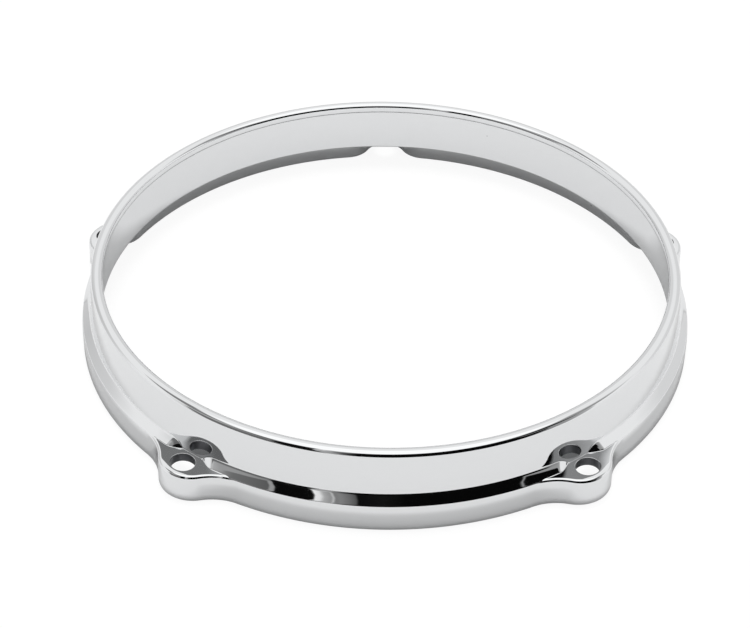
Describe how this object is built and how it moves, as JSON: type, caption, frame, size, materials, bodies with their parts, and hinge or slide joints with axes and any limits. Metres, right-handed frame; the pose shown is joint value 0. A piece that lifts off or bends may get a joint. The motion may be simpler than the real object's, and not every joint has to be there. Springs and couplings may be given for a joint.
{
  "type": "drum hoop",
  "caption": "Round die-cast drum hoop with a rolled crown, upright wall, sloping shoulder and skirt, and flat-topped ears with holes for tension rods.",
  "frame": {"origin": "on the hoop's axis, level with the top of the shoulder at the foot of the wall, which is the height of the ring's centre of mass; the foot of the skirt is 12.8 mm below it and the crown 16.3 mm above it", "axes": "+Z along the hoop's axis, from the skirt's foot towards the crown; -Y towards the front, midway between two ears; one ear stands at +Y"},
  "size_m": [0.2302, 0.2324, 0.0291],
  "materials": {
    "chrome_plate": "bright chrome plating over a polished zinc die casting"
  },
  "bodies": {
    "root": {"hoop_casting": "chrome_plate"}
  },
  "joints": []
}
